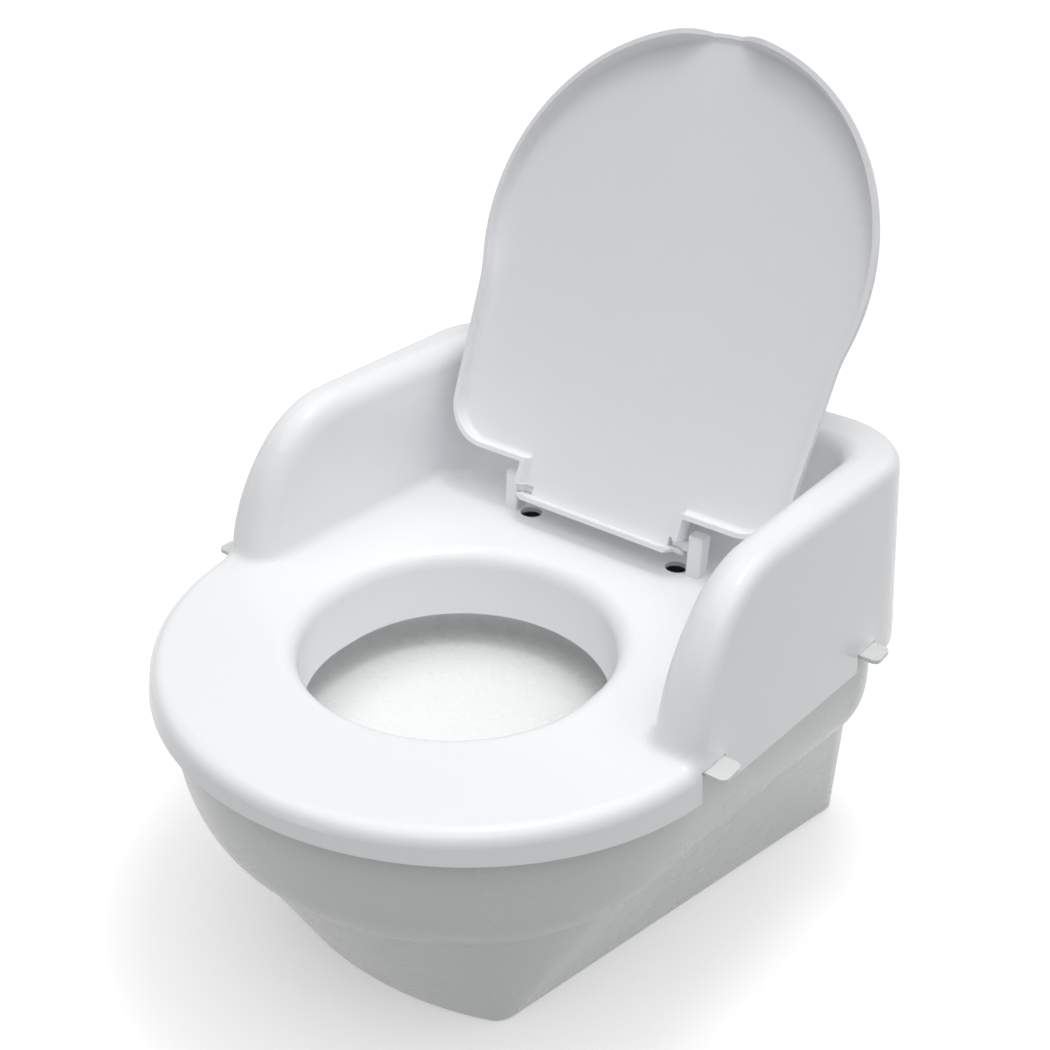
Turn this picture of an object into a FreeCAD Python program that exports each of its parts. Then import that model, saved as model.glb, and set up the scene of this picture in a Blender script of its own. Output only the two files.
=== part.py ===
import FreeCAD, Part
import os
import re
import math
import Sketcher
from FreeCAD import Placement, Rotation, Vector

# A child's training potty: a lower base shell, a lift-out bowl, a seat shell with
# armrests and a back wall, and a hinged lid that snaps onto two moulded pins.
#
# Every shell is modelled in one common frame, the seat frame: x = 0 is the middle,
# y = 0 the centre of the seat opening (front is -y) and z = 0 the top of the deck.
# The lid has a frame of its own, on its hinge axis, in its closed position.

SIZES = (
    # the whole object
    ("deck_height", 170.0),        # top of the deck above the floor
    ("opening_setback", 34.1),     # from the middle of the object forward to the opening
    ("wall", 2.8),                 # wall of the moulded shells
    ("draft", 6.5),                # draft of the seat's outer wall, degrees
    # outline of the seat at deck level
    ("seat_front", 148.5),         # opening centre to the front edge
    ("seat_rear", 213.0),          # opening centre to the rear face
    ("seat_half", 148.9),          # opening centre square to a side
    ("flare", 2.4),                # how much the sides open to the rear, degrees
    ("rear_radius", 54.0),
    # armrests, back wall and skirt
    ("arm_front", 17.0),           # armrest front face, forward of the opening centre
    ("arm_low_radius", 90.0),      # lower arc of the armrest front
    ("arm_top_radius", 58.0),      # upper arc of the armrest front
    ("crest_height", 80.0),        # rear end of the crest above the deck
    ("crest_slope", 0.3),          # rise of the crest to the rear, degrees
    ("arm_width", 29.4),           # from a side, at deck level, in to the armrest's inner face
    ("room_half", "=seat_half - arm_width"),
    ("back_foot", 143.0),          # foot of the back wall behind the opening centre
    ("back_lean", 23.0),           # lean of the back wall from upright, degrees
    ("room_radius", 18.0),         # corner between armrest and back wall
    ("inner_rim_radius", 12.0),
    ("outer_rim_radius", 7.5),
    ("foot_radius", 6.0),         # blend from the deck up into the walls
    ("skirt_front", 14.0),         # skirt depth under the deck at the front
    ("skirt_slope", 2.0),          # fall of the skirt's edge to the rear, degrees
    # opening and splash collar
    ("opening_radius", 77.0),
    ("opening_stretch", 9.0),      # straight part that makes the opening oval
    ("opening_edge", 10.0),        # rounding from the deck into the collar
    ("collar_depth", 38.0),
    ("collar_draft", 2.5),         # degrees
    # hinge
    ("hinge_back", 125.9),         # hinge axis behind the opening centre
    ("hinge_height", 14.9),        # hinge axis above the deck
    ("pin_radius", 3.0),
    ("pin_play", 0.06),            # radial clearance of the clip on its pin
    ("pin_inner", 46.5),           # inner end of a pin from the middle
    ("post_inner", 56.5),          # inner face of a post from the middle
    ("post_width", 8.6),
    ("post_front", 4.4),           # front of a post ahead of the hinge axis
    ("post_back", 6.0),            # back of a post behind the hinge axis
    ("post_height", 23.5),
    ("post_bevel", 1.6),
    ("mould_hole_radius", 6.2),    # hole in the deck under each pin
    ("mould_hole_side", 49.0),
    # lid
    ("open_angle", 111.8),
    ("lip_drop", 13.4),            # hinge axis down to the edge of the lip
    ("lid_depth", 10.5),           # edge of the lip up to the top face
    ("lid_skin", 2.6),             # panel and lip thickness
    ("lid_play", 3.5),             # gap between the lid's widest place and an armrest
    ("lid_slim", 8.5),             # how much narrower the lid's side is at the hinge
    ("lid_radius", "=room_half - lid_play"),
    ("lid_centre", 146.3),         # hinge axis forward to the centre of that round
    ("lid_waist_radius", 80.0),    # hollow curve where the lid narrows
    ("lid_side", "=lid_radius - lid_slim"),
    ("lid_taper", 2.0),            # narrowing of the sides to the rear, degrees
    ("lid_corner", 26.0),
    ("lid_rear", 15.0),            # rear edge ahead of the hinge axis
    ("lid_edge", 8.0),             # rounding of the top edge
    ("lid_cove", 3.0),             # rounding inside the lip
    ("tongue_half", 53.5),
    ("tongue_back", 5.6),          # tongue behind the hinge axis, also the clip's outside
    ("tongue_chamfer", 6.0),
    ("clip_mouth", 4.8),           # gap of the snap clip, under the pin's diameter
    ("lift_half", 24.0),           # half the finger gap in the front of the lip
    ("lift_slope", 2.4),           # run of the gap's ends for each unit of rise
    ("lift_height", 6.5),
    # bowl
    ("bowl_radius", 100.0),
    ("bowl_floor_radius", 92.0),
    ("bowl_stretch", 10.0),
    ("bowl_floor", 59.0),          # inside floor below the deck
    ("bowl_cove", 9.0),
    ("bowl_wall", 2.5),
    ("flange_width", 13.0),
    ("flange_depth", 16.5),        # top of the flange below the deck
    ("flange_thick", 2.5),
    # base
    ("seat_play", 3.0),            # base inside the skirt
    ("rim_drop", 3.4),             # rim of the base below the deck's top
    ("shelf_thick", 3.0),
    ("shelf_play", 1.2),           # bowl in the shelf's opening
    ("crease_depth", 82.0),        # crease below the deck
    ("crease_front", 125.0),
    ("crease_half", 125.0),
    ("crease_flare", 6.0),
    ("crease_rear", 206.0),
    ("crease_step", 1.0),
    ("crease_blunt", 8.0),         # nose arc of the crease over its half width
    ("crease_turn", 20.0),         # shoulder arc of the crease under its half width
    ("crease_corner", 46.0),
    ("front_ease", 4.0),           # band's nose arc under, and shoulder arc over, its half width
    ("band_lean", 1.5),            # band drawn in between its rim and the skirt's depth
    ("belly_bulge", 4.4),          # band outside a straight line down to the crease
    ("foot_front", 76.0),          # outline on the floor
    ("foot_half", 87.5),
    ("foot_flare", 12.0),
    ("foot_rear", 207.0),
    ("foot_nose_radius", 170.0),
    ("foot_corner", 14.0),
    ("foot_rear_corner", 12.0),
    ("floor_gap", 1.5),            # pads stand this far out of the base
    # lugs that locate the seat on the base
    ("lug_width", 16.0),
    ("lug_thick", 2.2),
    ("lug_proud", 10.0),            # beyond the skirt
    ("lug_corner", 3.5),
    ("lug_play", 1.2),             # at the ends of a lug
    ("lug_head", 0.4),             # over a lug
    ("front_lug_place", 6.0),      # ahead of the opening centre
    ("front_lug_drop", 3.2),
    ("rear_lug_place", 139.0),     # behind the opening centre
    ("rear_lug_drop", 14.0),
    # anti-slip pads
    ("pad_radius", 11.0),
    ("pad_thick", 3.5),
    ("pad_play", 0.2),
    ("pad_chamfer", 0.75),
    ("front_pad_side", 46.0),
    ("front_pad_place", 40.0),
    ("rear_pad_edge", 50.9),       # from the deck's side in to the middle of a rear pad
    ("rear_pad_side", "=seat_half - rear_pad_edge"),
    ("rear_pad_place", 166.0),
)

REACH = 400.0                      # longer than any piece, for cuts that go right through
OVERRUN = 60.0                     # how far the cutting forms run past the shells
TINY = 0.01                        # places closer than this count as one
FLAT = 0.99                        # a normal this near an axis belongs to a flat face
STEEP = 0.15                       # and one this far from it to an outer wall

doc = FreeCAD.newDocument("potty_chair")
sheet = doc.addObject("Spreadsheet::Sheet", "sizes")
NAMES = {name for name, _ in SIZES}


def fill_sheet():
    """Writes every driving size to its own cell, with its name as the alias."""
    for row, (name, value) in enumerate(SIZES, start=1):
        sheet.set("A%d" % row, name)
        sheet.set("B%d" % row, str(value))
        sheet.setAlias("B%d" % row, name)
    doc.recompute()


def bound(expression):
    """The expression with each size's name led back to the sheet."""
    return re.sub(r"[a-z_]+", lambda m: "sizes." + m[0] if m[0] in NAMES else m[0], expression)


def size(expression):
    """The number that an expression of sizes comes to now."""
    value = doc.Anchor.evalExpression(bound(expression))
    return float(getattr(value, "Value", value))


def bind(item, path, expression):
    """Binds one property of an object to an expression of sizes."""
    item.setExpression(path, bound(expression))


def new_body(name):
    return doc.addObject("PartDesign::Body", name)


def plane_of(body, role):
    return next(item for item in body.Origin.OriginFeatures if item.Role == role)


def new_sketch(body, name, role="XY_Plane", height="0"):
    """A sketch on one of the body's own planes, raised by an expression."""
    sketch = body.newObject("Sketcher::SketchObject", name)
    sketch.AttachmentSupport = [(plane_of(body, role), "")]
    sketch.MapMode = "FlatFace"
    sketch.AttachmentOffset = Placement(Vector(0, 0, size(height)), Rotation())
    bind(sketch, "AttachmentOffset.Base.z", height)
    return sketch


def dimension(sketch, name, kind, places, expression):
    """A named dimension whose value comes from the sheet."""
    value = size(expression)
    if kind == "Angle":
        value = math.radians(value)
    index = sketch.addConstraint(Sketcher.Constraint(kind, *places, value))
    sketch.renameConstraint(index, name)
    bind(sketch, "Constraints." + name, expression)


def relate(sketch, kind, *places):
    sketch.addConstraint(Sketcher.Constraint(kind, *places))


def line(sketch, start, end):
    return sketch.addGeometry(Part.LineSegment(Vector(*start, 0), Vector(*end, 0)))


def arc(sketch, centre, radius, start, end):
    """An arc that runs anticlockwise between two angles in degrees."""
    circle = Part.Circle(Vector(*centre, 0), Vector(0, 0, 1), radius)
    return sketch.addGeometry(Part.ArcOfCircle(circle, math.radians(start), math.radians(end)))


def shell_outline(body, name, height, front, half, flare, rear, corner, nose=None, shoulder=None):
    """The right half of a shell's outline: round front, straight side, rear corner, rear.

    With nose and shoulder radii the front is a nose arc and a shoulder arc; without
    them it is one arc that touches the side.
    """
    sketch = new_sketch(body, name, height=height)
    y_front, side, tilt = -size(front), size(half), math.radians(size(flare))
    y_rear, rear_radius = size(rear), size(corner)
    out = Vector(math.cos(tilt), -math.sin(tilt), 0)
    if nose:
        nose_radius, turn_radius = size(nose), size(shoulder)
        nose_y = y_front + nose_radius
        level = side - turn_radius
        # the shoulder's centre lies level with the side and one radius difference from the nose's
        along = Vector(math.sin(tilt), math.cos(tilt), 0)
        middle = out * level
        apart = middle - Vector(0, nose_y, 0)
        half_b = apart.dot(along)
        root = math.sqrt(half_b ** 2 - apart.dot(apart) + (nose_radius - turn_radius) ** 2)
        reach = -half_b - root if turn_radius < nose_radius else -half_b + root
        turn = middle + along * reach
        ray = turn - Vector(0, nose_y, 0)
        if turn_radius > nose_radius:
            ray = ray * -1
        join = math.degrees(math.atan2(ray.y, ray.x))
        first = arc(sketch, (0, nose_y), nose_radius, -90, join)
        second = arc(sketch, (turn.x, turn.y), turn_radius, join, -math.degrees(tilt))
        touch = turn + out * turn_radius
    else:
        centre_y = (side + y_front) / (1 - math.sin(tilt))
        first = arc(sketch, (0, centre_y), centre_y - y_front, -90, -math.degrees(tilt))
        second = first
        touch = Vector(0, centre_y, 0) + out * (centre_y - y_front)
    corner_x = (side - rear_radius + (y_rear - rear_radius) * math.sin(tilt)) / math.cos(tilt)
    end = Vector(corner_x, y_rear - rear_radius, 0) + out * rear_radius
    flank = line(sketch, (touch.x, touch.y), (end.x, end.y))
    bend = arc(sketch, (corner_x, y_rear - rear_radius), rear_radius, -math.degrees(tilt), 90)
    back = line(sketch, (corner_x, y_rear), (0, y_rear))
    axis = line(sketch, (0, y_rear), (0, y_front))
    if nose:
        relate(sketch, "Tangent", first, 2, second, 1)
    relate(sketch, "Tangent", second, 2, flank, 1)
    relate(sketch, "Tangent", flank, 2, bend, 1)
    relate(sketch, "Tangent", bend, 2, back, 1)
    relate(sketch, "Coincident", back, 2, axis, 1)
    relate(sketch, "Coincident", axis, 2, first, 1)
    relate(sketch, "PointOnObject", axis, 1, -2)
    relate(sketch, "PointOnObject", axis, 2, -2)
    relate(sketch, "PointOnObject", first, 3, -2)
    relate(sketch, "Horizontal", back)
    dimension(sketch, "front", "DistanceY", (first, 1, -1, 1), front)
    dimension(sketch, "half", "Distance", (-1, 1, flank), half)
    dimension(sketch, "lean", "Angle", (flank,), "90 - (%s)" % flare)
    dimension(sketch, "rear", "DistanceY", (-1, 1, back, 2), rear)
    dimension(sketch, "corner", "Radius", (bend,), corner)
    if nose:
        dimension(sketch, "nose", "Radius", (first,), nose)
        dimension(sketch, "shoulder", "Radius", (second,), shoulder)
    return sketch


def oval(body, name, height, radius, stretch):
    """A round lengthened along y by a straight stretch in its middle."""
    sketch = new_sketch(body, name, height=height)
    r, s = size(radius), size(stretch) / 2
    front = arc(sketch, (0, -s), r, 180, 360)
    right = line(sketch, (r, -s), (r, s))
    rear = arc(sketch, (0, s), r, 0, 180)
    left = line(sketch, (-r, s), (-r, -s))
    for one, other in ((front, right), (right, rear), (rear, left), (left, front)):
        relate(sketch, "Tangent", one, 2, other, 1)
    relate(sketch, "PointOnObject", front, 3, -2)
    relate(sketch, "PointOnObject", rear, 3, -2)
    dimension(sketch, "front_radius", "Radius", (front,), radius)
    dimension(sketch, "rear_radius", "Radius", (rear,), radius)
    dimension(sketch, "front_half", "DistanceY", (front, 3, -1, 1), "(%s) / 2" % stretch)
    dimension(sketch, "rear_half", "DistanceY", (-1, 1, rear, 3), "(%s) / 2" % stretch)
    return sketch


def ribbon(body, name, corners, role="YZ_Plane"):
    """A closed polygon whose corners are pairs of expressions."""
    sketch = new_sketch(body, name, role)
    points = [(size(x), size(y)) for x, y in corners]
    count = len(points)
    for i in range(count):
        line(sketch, points[i], points[(i + 1) % count])
    for i, (x, y) in enumerate(corners):
        relate(sketch, "Coincident", i, 2, (i + 1) % count, 1)
        dimension(sketch, "x%d" % i, "DistanceX", (-1, 1, i, 1), x)
        dimension(sketch, "y%d" % i, "DistanceY", (-1, 1, i, 1), y)
    return sketch


def loft(body, name, sections, ruled=True, kind="AdditiveLoft"):
    item = body.newObject("PartDesign::" + kind, name)
    item.Profile = sections[0]
    item.Sections = sections[1:]
    item.Ruled = ruled
    doc.recompute()
    return item


def pad(body, name, sketch, length, down=False, both=False, kind="Pad"):
    item = body.newObject("PartDesign::" + kind, name)
    item.Profile = sketch
    bind(item, "Length", length)
    item.Reversed = down
    item.Midplane = both
    doc.recompute()
    return item


def mirror(body, name, features):
    item = body.newObject("PartDesign::Mirrored", name)
    item.Originals = features
    item.MirrorPlane = (plane_of(body, "YZ_Plane"), [""])
    body.Tip = item
    doc.recompute()
    return item


def round_edges(body, name, wanted, radius, kind="Fillet", path="Radius"):
    """Rounds the edges that a test picks out of the body's last shape."""
    last = body.Tip
    names = ["Edge%d" % (i + 1) for i, edge in enumerate(last.Shape.Edges)
             if any(edge.isSame(other) for other in wanted(last.Shape))]
    item = body.newObject("PartDesign::" + kind, name)
    item.Base = (last, names)
    bind(item, path, radius)
    doc.recompute()
    return item


def middle_of(edge):
    return edge.valueAt((edge.FirstParameter + edge.LastParameter) / 2)


def normal_of(face):
    u0, u1, v0, v1 = face.ParameterRange
    return face.normalAt((u0 + u1) / 2, (v0 + v1) / 2)


def face_middle(face):
    u0, u1, v0, v1 = face.ParameterRange
    return face.valueAt((u0 + u1) / 2, (v0 + v1) / 2)


def border(faces):
    """The edges that only one face of a group has."""
    edges = [edge for face in faces for edge in face.Edges]
    return [edge for edge in edges if sum(edge.isSame(other) for other in edges) == 1]


# ------------------------------------------------------------------ seat shell

def seat_form(name, inset):
    """The seat as a solid block, drawn in by inset all round: 0 outside, the wall inside."""
    body = new_body(name)
    low = "-%g" % OVERRUN
    high = "crest_height + %g" % OVERRUN
    slope = "tan(draft)"

    def outline(tag, height):
        shrink = "((%s) + (%s) * %s)" % (inset, height, slope)
        return shell_outline(body, name + "_outline_" + tag, height,
                             "seat_front - " + shrink, "seat_half - " + shrink, "flare",
                             "seat_rear - " + shrink, "rear_radius - " + shrink)

    block = loft(body, name + "_block", [outline("low", low), outline("high", high)])
    mirror(body, name + "_whole", [block])
    profile = arm_profile(body, name + "_profile", inset)
    pad(body, name + "_front_cut", profile, "%g" % REACH, both=True, kind="Pocket")
    room = ribbon(body, name + "_room_side", (
        ("-(arm_front + %g)" % OVERRUN, "-(%s)" % inset),
        ("back_foot + (%s) * (1 / cos(back_lean) - tan(back_lean))" % inset, "-(%s)" % inset),
        ("back_foot + (%s) / cos(back_lean) + (crest_height + %g) * tan(back_lean)" % (inset, OVERRUN),
         "crest_height + %g" % OVERRUN),
        ("-(arm_front + %g)" % OVERRUN, "crest_height + %g" % OVERRUN),
    ))
    pad(body, name + "_room", room, "2 * (room_half + (%s))" % inset, both=True, kind="Pocket")
    hole_top = oval(body, name + "_hole_top", "%g" % OVERRUN,
                    "opening_radius + (%s) + %g * tan(collar_draft)" % (inset, OVERRUN), "opening_stretch")
    hole_low = oval(body, name + "_hole_low", low,
                    "opening_radius + (%s) - %g * tan(collar_draft)" % (inset, OVERRUN), "opening_stretch")
    loft(body, name + "_hole", [hole_top, hole_low], kind="SubtractiveLoft")

    level = -size(inset)

    def deck(shape):
        flat = [face for face in shape.Faces if normal_of(face).z > FLAT]
        return [face for face in flat if abs(face_middle(face).z - level) < TINY]

    def is_outside(face):
        there, normal = face_middle(face), normal_of(face)
        away = there - Vector(0, size("seat_rear - seat_front") / 2, 0)
        clear = there.Length > size("opening_radius + opening_stretch + opening_edge")
        return abs(normal.z) < STEEP and normal.dot(away) > 0 and clear

    def is_room(face):
        box, normal = face.BoundBox, normal_of(face)
        inside = max(abs(box.XMin), abs(box.XMax)) < size("room_half + (%s)" % inset) + TINY
        behind = box.YMax > size("opening_radius + opening_stretch")
        return inside and behind and box.ZMin > level - 0.1 and normal.z < 0.5

    def room_corners(shape):
        return [edge for edge in shape.Edges
                if abs(abs(middle_of(edge).x) - size("room_half + (%s)" % inset)) < TINY
                and edge.BoundBox.ZLength > size("crest_height") / 2
                and edge.BoundBox.YMin > size("back_foot") - 1]

    def inner_rim(shape):
        return [edge for edge in border([face for face in shape.Faces if is_room(face)])
                if middle_of(edge).z > level + 0.5]

    def feet(shape):
        outer = [edge for face in shape.Faces if is_outside(face) for edge in face.Edges]
        return [edge for face in deck(shape) for edge in face.Edges
                if not any(edge.isSame(other) for other in outer)
                and edge.BoundBox.YMax > 0 - size("arm_front") - 1
                and middle_of(edge).Length > size("opening_radius + opening_stretch + opening_edge")]

    def outer_rim(shape):
        return [edge for edge in border([face for face in shape.Faces if is_outside(face)])
                if middle_of(edge).z > level - 0.5]

    def opening(shape):
        return [edge for face in deck(shape) for edge in face.Edges
                if middle_of(edge).Length < size("opening_radius + opening_stretch + (%s)" % inset) + 1]

    round_edges(body, name + "_room_corners", room_corners, "room_radius + (%s)" % inset)
    round_edges(body, name + "_inner_rim", inner_rim, "inner_rim_radius - (%s)" % inset)
    round_edges(body, name + "_feet", feet, "foot_radius + (%s)" % inset)
    round_edges(body, name + "_outer_rim", outer_rim, "outer_rim_radius - (%s)" % inset)
    round_edges(body, name + "_opening", opening, "opening_edge - (%s)" % inset)
    return body


def arm_profile(body, name, inset):
    """Everything above the deck's and the armrests' top line, seen from the side."""
    sketch = new_sketch(body, name, "YZ_Plane")
    level, front = -size(inset), -size("arm_front - (%s)" % inset)
    low_radius, top_radius = size("arm_low_radius - (%s)" % inset), size("arm_top_radius - (%s)" % inset)
    far, high = size("seat_rear + %g" % OVERRUN), size("crest_height + 2 * %g" % OVERRUN)
    near = -size("seat_front + %g" % OVERRUN)
    slope = math.radians(size("crest_slope"))
    crest = size("crest_height - (%s) / cos(crest_slope)" % inset)
    # the crest line, then the top arc's centre one radius under it and touching the lower arc
    rear = size("seat_rear")
    low_centre = Vector(front + low_radius, level, 0)
    up = Vector(-math.sin(slope), math.cos(slope), 0)
    ahead = Vector(math.cos(slope), math.sin(slope), 0)
    base = Vector(rear, crest, 0) - up * top_radius
    apart = base - low_centre
    half_b = apart.dot(ahead)
    root = math.sqrt(half_b ** 2 - apart.dot(apart) + (low_radius - top_radius) ** 2)
    top_centre = base + ahead * (-half_b - root)
    ray = top_centre - low_centre
    join = math.degrees(math.atan2(ray.y, ray.x))
    touch = top_centre + up * top_radius
    finish = Vector(far, crest + (far - rear) * math.tan(slope), 0)
    deck = line(sketch, (near, level), (front, level))
    low = arc(sketch, (low_centre.x, low_centre.y), low_radius, join, 180)
    top = arc(sketch, (top_centre.x, top_centre.y), top_radius, 90 + math.degrees(slope), join)
    ridge = line(sketch, (touch.x, touch.y), (finish.x, finish.y))
    back = line(sketch, (far, finish.y), (far, high))
    roof = line(sketch, (far, high), (near, high))
    face = line(sketch, (near, high), (near, level))
    relate(sketch, "Coincident", deck, 2, low, 2)
    relate(sketch, "Tangent", low, 1, top, 2)
    relate(sketch, "Tangent", top, 1, ridge, 1)
    for one, other in ((ridge, back), (back, roof), (roof, face), (face, deck)):
        relate(sketch, "Coincident", one, 2, other, 1)
    relate(sketch, "PointOnObject", low, 3, deck)
    for flat in (deck, roof):
        relate(sketch, "Horizontal", flat)
    for upright in (back, face):
        relate(sketch, "Vertical", upright)
    dimension(sketch, "level", "DistanceY", (-1, 1, deck, 1), "-(%s)" % inset)
    dimension(sketch, "front", "DistanceX", (-1, 1, deck, 2), "-(arm_front - (%s))" % inset)
    dimension(sketch, "low_radius", "Radius", (low,), "arm_low_radius - (%s)" % inset)
    dimension(sketch, "top_radius", "Radius", (top,), "arm_top_radius - (%s)" % inset)
    dimension(sketch, "slope", "Angle", (ridge,), "crest_slope")
    dimension(sketch, "crest", "DistanceY", (-1, 1, ridge, 2),
              "crest_height - (%s) / cos(crest_slope) + %g * tan(crest_slope)" % (inset, OVERRUN))
    dimension(sketch, "far", "DistanceX", (-1, 1, ridge, 2), "seat_rear + %g" % OVERRUN)
    dimension(sketch, "high", "DistanceY", (-1, 1, roof, 1), "crest_height + 2 * %g" % OVERRUN)
    dimension(sketch, "near", "DistanceX", (-1, 1, face, 1), "-(seat_front + %g)" % OVERRUN)
    return sketch


def trim_form():
    """What lies under the edge of the skirt and under the end of the collar."""
    body = new_body("seat_trim")
    fall = "tan(skirt_slope)"
    side = ribbon(body, "seat_trim_side", (
        ("-%g" % REACH, "-(skirt_front + seat_front * {0}) + %g * {0}".format(fall) % REACH),
        ("-%g" % REACH, "-%g" % REACH),
        ("%g" % REACH, "-%g" % REACH),
        ("%g" % REACH, "-(skirt_front + seat_front * {0}) - %g * {0}".format(fall) % REACH),
    ))
    pad(body, "seat_trim_block", side, "2 * %g" % REACH, both=True)
    ring = oval(body, "seat_trim_ring", "-collar_depth",
                "opening_radius + wall + opening_edge", "opening_stretch")
    pad(body, "seat_trim_collar", ring, "%g" % REACH, down=True, kind="Pocket")
    return body


def hinge_posts():
    """Two upright posts with a pin each, pointing at each other, moulded onto the deck."""
    body = new_body("hinge_posts")
    front, back = "hinge_back - post_front", "hinge_back + post_back"
    side = ribbon(body, "post_side", (
        (front, "-wall / 2"), (back, "-wall / 2"), (back, "post_height - post_bevel"),
        (back + " - post_bevel", "post_height"), (front + " + post_bevel", "post_height"),
        (front, "post_height - post_bevel"),
    ))
    bind(side, "AttachmentOffset.Base.z", "post_inner")
    post = pad(body, "post", side, "post_width")
    section = new_sketch(body, "pin_section", "YZ_Plane", "pin_inner")
    circle = section.addGeometry(Part.Circle(Vector(size("hinge_back"), size("hinge_height"), 0),
                                             Vector(0, 0, 1), size("pin_radius")))
    dimension(section, "radius", "Radius", (circle,), "pin_radius")
    dimension(section, "back", "DistanceX", (-1, 1, circle, 3), "hinge_back")
    dimension(section, "height", "DistanceY", (-1, 1, circle, 3), "hinge_height")
    pin = pad(body, "pin", section, "post_inner + post_width / 2 - pin_inner")
    mirror(body, "posts", [post, pin])

    def upright(shape):
        return [edge for edge in shape.Edges if edge.BoundBox.ZLength > size("post_height") / 2
                and edge.BoundBox.XLength < TINY]

    def pin_end(shape):
        return [edge for edge in shape.Edges
                if abs(abs(middle_of(edge).x) - size("pin_inner")) < TINY]

    round_edges(body, "post_round", upright, "post_bevel")
    round_edges(body, "pin_round", pin_end, "pin_radius / 4")
    return body


def lug_places():
    """Name, place along y, drop of the top face: one for each lug on a side."""
    return (("front_lug", "-front_lug_place", "front_lug_drop"),
            ("rear_lug", "rear_lug_place", "rear_lug_drop"))


def side_box(body, name, place, half_width, inner, outer, height):
    """A rectangle on the right side, seen from above."""
    sketch = new_sketch(body, name, height=height)
    x0, x1 = size(inner), size(outer)
    y0, y1 = size("%s - (%s)" % (place, half_width)), size("%s + (%s)" % (place, half_width))
    corners = ((x0, y0), (x1, y0), (x1, y1), (x0, y1))
    for i in range(4):
        line(sketch, corners[i], corners[(i + 1) % 4])
    for i in range(4):
        relate(sketch, "Coincident", i, 2, (i + 1) % 4, 1)
    for i in (0, 2):
        relate(sketch, "Horizontal", i)
        relate(sketch, "Vertical", i + 1)
    dimension(sketch, "inner", "DistanceX", (-1, 1, 0, 1), inner)
    dimension(sketch, "outer", "DistanceX", (-1, 1, 0, 2), outer)
    dimension(sketch, "low", "DistanceY", (-1, 1, 0, 1), "%s - (%s)" % (place, half_width))
    dimension(sketch, "high", "DistanceY", (-1, 1, 2, 1), "%s + (%s)" % (place, half_width))
    return sketch


def side_at(place, inset):
    """Distance of the seat's side from the middle at a place along y, drawn in by inset."""
    return "((seat_half - (%s)) / cos(flare) + (%s) * tan(flare))" % (inset, place)


def notch_form():
    """Notches in the skirt, open at the bottom, that the lugs stand in."""
    body = new_body("lug_notches")
    cuts = []
    for name, place, drop in lug_places():
        sketch = side_box(body, name + "_notch_plan", place, "lug_width / 2 + lug_play",
                          side_at(place, "3 * wall"), side_at(place, "-3 * wall"),
                          "lug_head - %s" % drop)
        cuts.append(pad(body, name + "_notch", sketch, "collar_depth", down=True))
    mirror(body, "notches", cuts)
    return body


def lug_form():
    """Flat lugs on the base that stand out through the skirt."""
    body = new_body("base_lugs")
    lugs = []
    for name, place, drop in lug_places():
        sketch = side_box(body, name + "_plan", place, "lug_width / 2",
                          side_at(place, "wall + seat_play + wall"),
                          side_at(place, "-(%s) * tan(draft)" % drop) + " + lug_proud",
                          "-%s" % drop)
        lugs.append(pad(body, name, sketch, "lug_thick", down=True))
    mirror(body, "lugs", lugs)

    def outer_corners(shape):
        return [edge for edge in shape.Edges if edge.BoundBox.ZLength > size("lug_thick") - TINY
                and edge.BoundBox.ZLength < size("lug_thick") + TINY
                and abs(middle_of(edge).x) > size("seat_half + wall")]

    round_edges(body, "lug_corners", outer_corners, "lug_corner")
    return body


def combine(kind, name, base, tool):
    """A boolean of two objects: Cut, Fuse or Common."""
    item = doc.addObject("Part::" + kind, name)
    item.Base = base
    item.Tool = tool
    item.Refine = True
    doc.recompute()
    return item


def seat_shell():
    outside, inside = seat_form("seat_outside", "0"), seat_form("seat_inside", "wall")
    shell = combine("Cut", "seat_hollow", outside, inside)
    trimmed = combine("Cut", "seat_trimmed", shell, trim_form())
    notched = combine("Cut", "seat_notched", trimmed, notch_form())
    holes = new_body("mould_holes")
    plan = new_sketch(holes, "mould_hole_plan")
    circle = plan.addGeometry(Part.Circle(Vector(size("mould_hole_side"), size("hinge_back"), 0),
                                          Vector(0, 0, 1), size("mould_hole_radius")))
    dimension(plan, "radius", "Radius", (circle,), "mould_hole_radius")
    dimension(plan, "side", "DistanceX", (-1, 1, circle, 3), "mould_hole_side")
    dimension(plan, "back", "DistanceY", (-1, 1, circle, 3), "hinge_back")
    mirror(holes, "mould_holes_pair", [pad(holes, "mould_hole", plan, "4 * wall", both=True)])
    pierced = combine("Cut", "seat_pierced", notched, holes)
    return combine("Fuse", "seat_shell", pierced, hinge_posts())


# ------------------------------------------------------------------ lid

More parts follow.
